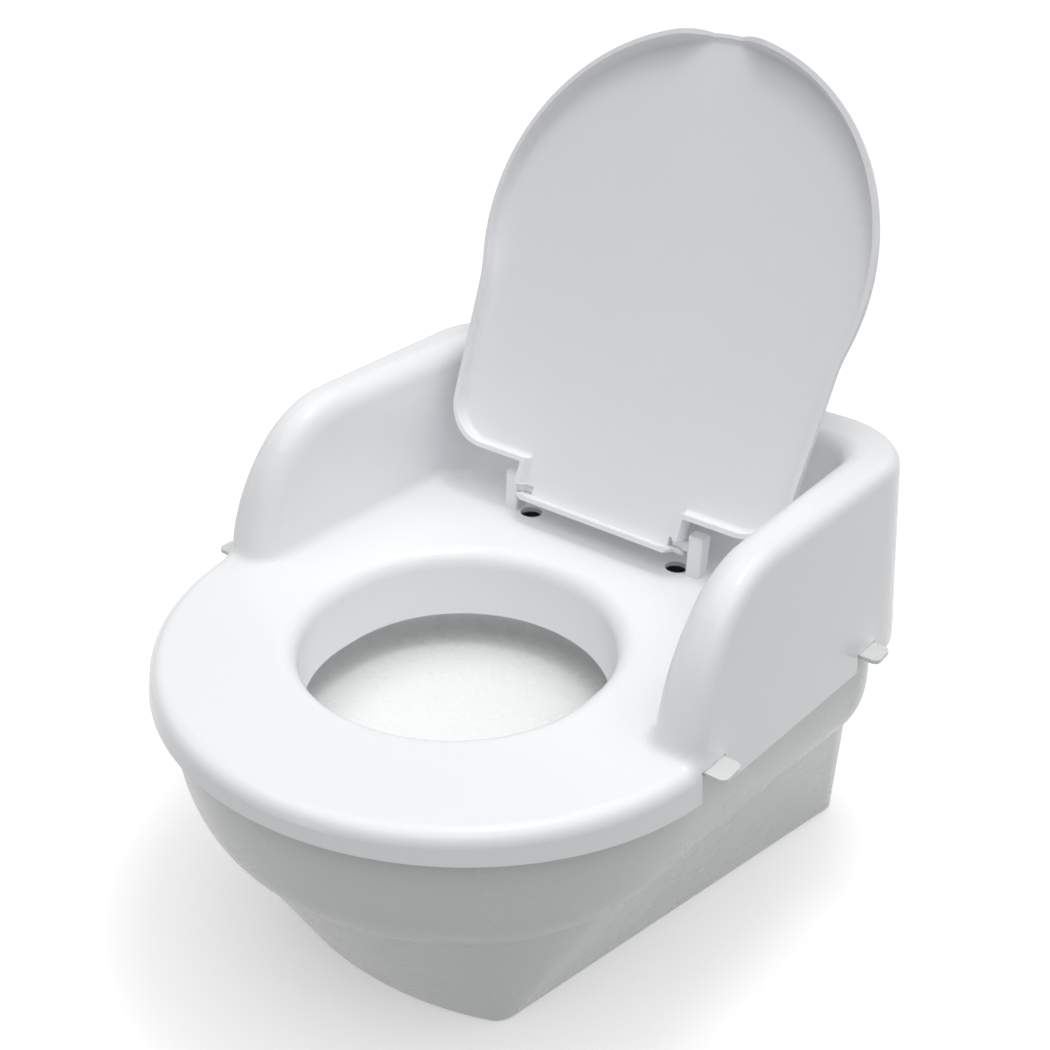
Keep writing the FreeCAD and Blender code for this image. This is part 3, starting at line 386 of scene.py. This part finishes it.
@dataclass
class PottyBowl:
    """A round-bottomed pan, lengthened a little front to back, that hangs by its flange."""

    node: str = "potty_bowl"
    finish: MouldedPlastic = BOWL_PLASTIC
    wall: float = 2.5 * MM
    flange_width: float = 13.0 * MM
    stretch: float = 10.0 * MM          # straight stretch in the middle of each side
    floor_radius: float = 92.0 * MM
    cove: float = 9.0 * MM              # rounding from the wall into the floor
    crown: float = 2.0 * MM             # how far the floor swells up in its middle
    rim_roll: float = 1.6 * MM          # rounding where the flange turns down into the pan
    sides: int = 98                     # so that no corner lies on the x axis, where the stretch goes
    roll_steps: int = 4
    cove_steps: int = 7
    wall_shares: tuple[float, ...] = (0.35, 0.7, 1.0)
    floor_shares: tuple[float, ...] = (0.92, 0.82, 0.7, 0.55, 0.4, 0.25, 0.1)
    edge_round: float = 0.7 * MM
    edge_segments: int = 3
    edge_angle: float = 50.0            # edges sharper than this are rounded, degrees
    low: Vector = field(init=False)
    high: Vector = field(init=False)

    def __post_init__(self) -> None:
        """Takes the bowl's box from the frame."""
        self.low, self.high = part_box(self.node)

    def rings(self) -> list[tuple[float, float]]:
        """The inner surface as rings from the flange's edge to near the middle of the floor.

        Returns:
            Radius and height of each ring.
        """
        flange = (self.high.x - self.low.x) / 2
        mouth = flange - self.flange_width
        top = self.high.z
        floor = self.low.z + self.wall
        lean = math.atan2(mouth - self.floor_radius, top - floor)
        rings = [(flange, top), (mouth + self.rim_roll * 2, top)]
        for step in range(1, self.roll_steps + 1):        # the roll of the rim
            turn = math.pi / 2 * step / self.roll_steps
            rings.append((mouth + self.rim_roll * (1 - math.sin(turn)),
                          top - self.rim_roll * (1 - math.cos(turn))))
        cove_top = floor + self.cove * (1 + math.sin(lean))
        slope = math.tan(lean)
        for share in self.wall_shares:                    # the wall, leaning in
            z = top - self.rim_roll + share * (cove_top - top + self.rim_roll)
            rings.append((mouth - slope * (top - z), z))
        centre = rings[-1][0] - self.cove * math.cos(lean)
        for step in range(1, self.cove_steps + 1):        # the cove
            turn = -lean + (math.pi / 2 + lean) * step / self.cove_steps
            rings.append((centre + self.cove * math.cos(turn),
                          floor + self.cove * (1 - math.sin(turn))))
        for share in self.floor_shares:                   # the floor, swelling up
            rings.append((centre * share, floor + self.crown * (1 - share ** 2) * (1 - share ** 4)))
        return rings

    def build(self) -> None:
        """Models the bowl and dresses it."""
        middle = (self.low + self.high) / 2
        rings = self.rings()
        radius, height = rings[0]
        deselect_objects()
        bpy.ops.mesh.primitive_circle_add(vertices=self.sides, radius=radius, fill_type="NOTHING",
                                          location=(middle.x, middle.y, height))
        piece = name_new("potty_pan")
        bpy.ops.object.transform_apply(location=True)
        bpy.ops.object.mode_set(mode="EDIT")
        bpy.ops.mesh.select_all(action="SELECT")
        for next_radius, next_height in rings[1:]:
            bpy.ops.mesh.extrude_edges_move(
                TRANSFORM_OT_translate={"value": (0, 0, next_height - height)})
            share = next_radius / radius
            bpy.ops.transform.resize(value=(share, share, 1),
                                     center_override=(middle.x, middle.y, next_height))
            radius, height = next_radius, next_height
        bpy.ops.mesh.edge_face_add()
        bpy.ops.mesh.poke()
        for sign in (-1, 1):
            pick(piece, "VERT", lambda place: (place.y - middle.y) * sign > NEAR)
            bpy.ops.transform.translate(value=(0, sign * self.stretch / 2, 0))
        bpy.ops.mesh.select_all(action="SELECT")
        bpy.ops.mesh.normals_make_consistent(inside=False)
        bpy.ops.object.mode_set(mode="OBJECT")
        if piece.data.polygons[0].normal.z < 0:
            bpy.ops.object.mode_set(mode="EDIT")
            bpy.ops.mesh.flip_normals()
            bpy.ops.object.mode_set(mode="OBJECT")
        apply_modifier(piece, "SOLIDIFY", thickness=self.wall, offset=-1.0, use_even_offset=True)
        apply_modifier(piece, "BEVEL", width=self.edge_round, segments=self.edge_segments,
                       limit_method="ANGLE", angle_limit=math.radians(self.edge_angle))
        finish_piece(piece, self.finish.make(), Body.BOWL, [self.node])
        log.info("%s: %d faces", piece.name, len(piece.data.polygons))


# ------------------------------------------------------------------ foot pads

@dataclass
class FootPads:
    """Four rubber discs with a chamfered, grooved tread, pressed into the base."""

    finish: PadRubber = PAD_RUBBER
    nodes: tuple[str, ...] = ("foot_pad_front_left", "foot_pad_front_right",
                              "foot_pad_rear_left", "foot_pad_rear_right")
    chamfer: float = 0.75 * MM
    groove_depth: float = 0.5 * MM
    groove_rings: tuple[float, ...] = (0.78, 0.52, 0.26)    # outer radius of each groove, of the pad's
    groove_width: float = 1.2 * MM
    sides: int = 64
    smooth_angle: float = 30.0                              # degrees

    def model(self, name: str, node: str) -> bpy.types.Object:
        """Models one pad, tread down, where its CAD node is.

        Args:
            name: the new piece's name.
            node: the CAD node.

        Returns:
            The pad.
        """
        low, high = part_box(node)
        middle = (low + high) / 2
        radius = (high.x - low.x) / 2
        deselect_objects()
        bpy.ops.mesh.primitive_cylinder_add(vertices=self.sides, radius=radius, depth=high.z - low.z,
                                            location=middle)
        piece = name_new(name)
        bpy.ops.object.transform_apply(location=True)
        bpy.ops.object.mode_set(mode="EDIT")
        pick(piece, "EDGE", lambda place: place.z < low.z + NEAR)
        bpy.ops.mesh.bevel(offset=self.chamfer, segments=2, profile=0.5)
        reach = radius - self.chamfer
        for share in self.groove_rings:
            pick(piece, "FACE", lambda place: place.z < low.z + NEAR
                 and (place - middle).to_2d().length < NEAR)
            bpy.ops.mesh.inset(thickness=reach - radius * share)
            bpy.ops.mesh.inset(thickness=self.groove_width)
            groove = radius * share - self.groove_width / 2
            pick(piece, "FACE", lambda place: place.z < low.z + NEAR
                 and abs((place - middle).to_2d().length - groove) < self.groove_width / 2)
            bpy.ops.transform.translate(value=(0, 0, self.groove_depth))
            reach = radius * share - self.groove_width
        bpy.ops.object.mode_set(mode="OBJECT")
        return piece

    def build(self) -> None:
        """Models the first pad, copies it to the other places and dresses all four."""
        material = self.finish.make()
        first_low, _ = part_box(self.nodes[0])
        first = self.model("tread_" + self.nodes[0], self.nodes[0])
        pieces = [first]
        for node in self.nodes[1:]:
            copy = first.copy()
            copy.data = first.data.copy()
            copy.name = copy.data.name = "tread_" + node
            bpy.context.scene.collection.objects.link(copy)
            copy.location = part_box(node)[0] - first_low
            pieces.append(copy)
        for piece, node in zip(pieces, self.nodes):
            finish_piece(piece, material, Body.BASE, [node], angle=self.smooth_angle)
            log.info("%s: %d faces", piece.name, len(piece.data.polygons))


# ------------------------------------------------------------------ studio

@dataclass
class Studio:
    """A plain white floor under one broad overhead light, with one small lamp for gloss."""

    floor_half: float = 12.0
    floor_colour: str = "#FFFFFF"
    floor_roughness: float = 0.9
    floor_shine: float = 0.1
    backdrop_radius: float = 11.0
    backdrop_glow: float = 1.05
    floor_glow: float = 0.22                                 # the floor is lit from below as well
    sky_strength: float = 0.33
    sun_strength: float = 1.72
    sun_spread: float = 84.0                                 # degrees across
    sun_lean: tuple[float, float] = (3.0, 7.0)               # leans the light to the front and right
    lamp_place: tuple[float, float, float] = (0.15, 0.10, 1.7)
    lamp_aim: tuple[float, float, float] = (0.0, 0.0, 0.2)
    lamp_size: float = 0.35
    lamp_power: float = 3.0
    eye: Vector = field(default_factory=lambda: Vector((0.3612, -0.4469, 0.3737)))  # from the opening
    heading: float = 35.882                                  # camera turned left, degrees
    dip: float = 28.491                                      # camera looks down, degrees
    roll: float = 2.077
    lens: float = 47.24
    sensor: float = 36.0
    floor_bounces: bool = False                              # whether the floor lights the chair
    contrast: float = 1.0                                    # below one, the shadows deepen
    deck_height: float = 170.0 * MM

    def floor(self) -> bpy.types.Object:
        """Lays the floor.

        Returns:
            The floor.
        """
        deselect_objects()
        bpy.ops.mesh.primitive_plane_add(size=2 * self.floor_half, location=ORIGIN)
        plane = name_new("studio_floor")
        material = bpy.data.materials.new("painted_board_matt_white")
        material.use_nodes = True
        shader = material.node_tree.nodes["Principled BSDF"]
        shader.inputs["Base Color"].default_value = linear(self.floor_colour)
        shader.inputs["Roughness"].default_value = self.floor_roughness
        shader.inputs["Specular IOR Level"].default_value = self.floor_shine
        shader.inputs["Emission Color"].default_value = linear(self.floor_colour)
        shader.inputs["Emission Strength"].default_value = self.floor_glow
        plane.data.materials.append(material)
        return plane

    def backdrop(self) -> None:
        """Hangs an even white backdrop all round, which only the camera sees."""
        deselect_objects()
        bpy.ops.mesh.primitive_uv_sphere_add(radius=self.backdrop_radius, location=ORIGIN)
        dome = name_new("studio_backdrop")
        material = bpy.data.materials.new("backlit_cloth_white")
        material.use_nodes = True
        shader = material.node_tree.nodes["Principled BSDF"]
        shader.inputs["Base Color"].default_value = linear("#000000")
        shader.inputs["Emission Color"].default_value = linear(self.floor_colour)
        shader.inputs["Emission Strength"].default_value = self.backdrop_glow
        dome.data.materials.append(material)
        dome.visible_diffuse = dome.visible_glossy = dome.visible_shadow = False

    def sky(self) -> None:
        """Sets an even, faint white sky."""
        world = bpy.data.worlds.new("studio_sky")
        world.use_nodes = True
        back = world.node_tree.nodes["Background"]
        back.inputs["Color"].default_value = linear(self.floor_colour)
        back.inputs["Strength"].default_value = self.sky_strength
        bpy.context.scene.world = world

    def sun(self) -> None:
        """Hangs the broad overhead light."""
        deselect_objects()
        forward, side = (math.radians(angle) for angle in self.sun_lean)
        bpy.ops.object.light_add(type="SUN", location=ORIGIN, rotation=(forward, side, 0))
        lamp = bpy.context.object
        lamp.name = "overhead_softbox"
        lamp.data.energy = self.sun_strength
        lamp.data.angle = math.radians(self.sun_spread)

    def gloss_lamp(self) -> None:
        """Hangs the small lamp that shows as highlights on rounded edges."""
        deselect_objects()
        bpy.ops.object.light_add(type="AREA", location=self.lamp_place)
        lamp = bpy.context.object
        lamp.name = "gloss_lamp"
        lamp.data.shape = "RECTANGLE"
        lamp.data.size = lamp.data.size_y = self.lamp_size
        lamp.data.energy = self.lamp_power
        direction = Vector(self.lamp_aim) - Vector(self.lamp_place)
        turn = direction.to_track_quat("-Z", "Y").to_matrix().to_4x4()
        lamp.matrix_world = Matrix.Translation(self.lamp_place) @ turn

    def camera(self) -> None:
        """Places the camera, measured from the middle of the seat opening."""
        low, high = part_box("potty_bowl")
        opening = Vector(((low.x + high.x) / 2, (low.y + high.y) / 2, self.deck_height))
        data = bpy.data.cameras.new("camera")
        data.lens = self.lens
        data.sensor_width = self.sensor
        camera = bpy.data.objects.new("camera", data)
        camera.matrix_world = (
            Matrix.Translation(opening + self.eye)
            @ Matrix.Rotation(math.radians(self.heading), 4, "Z")
            @ Matrix.Rotation(math.radians(90 - self.dip), 4, "X")
            @ Matrix.Rotation(math.radians(self.roll), 4, "Z"))
        bpy.context.scene.collection.objects.link(camera)
        bpy.context.scene.camera = camera

    def build(self) -> None:
        """Sets up the floor, the lights and the camera."""
        self.floor().visible_diffuse = self.floor_bounces
        self.backdrop()
        self.sky()
        self.sun()
        self.gloss_lamp()
        self.camera()
        view = bpy.context.scene.view_settings
        view.view_transform = "Standard"
        view.gamma = self.contrast
        log.info("studio: ready")


def main() -> None:
    """Builds the whole chair in its studio."""
    for part in (SeatShell(), BaseShell(), PottyBowl(), Lid(), FootPads(), Studio()):
        part.build()


if __name__ == "__main__":
    main()
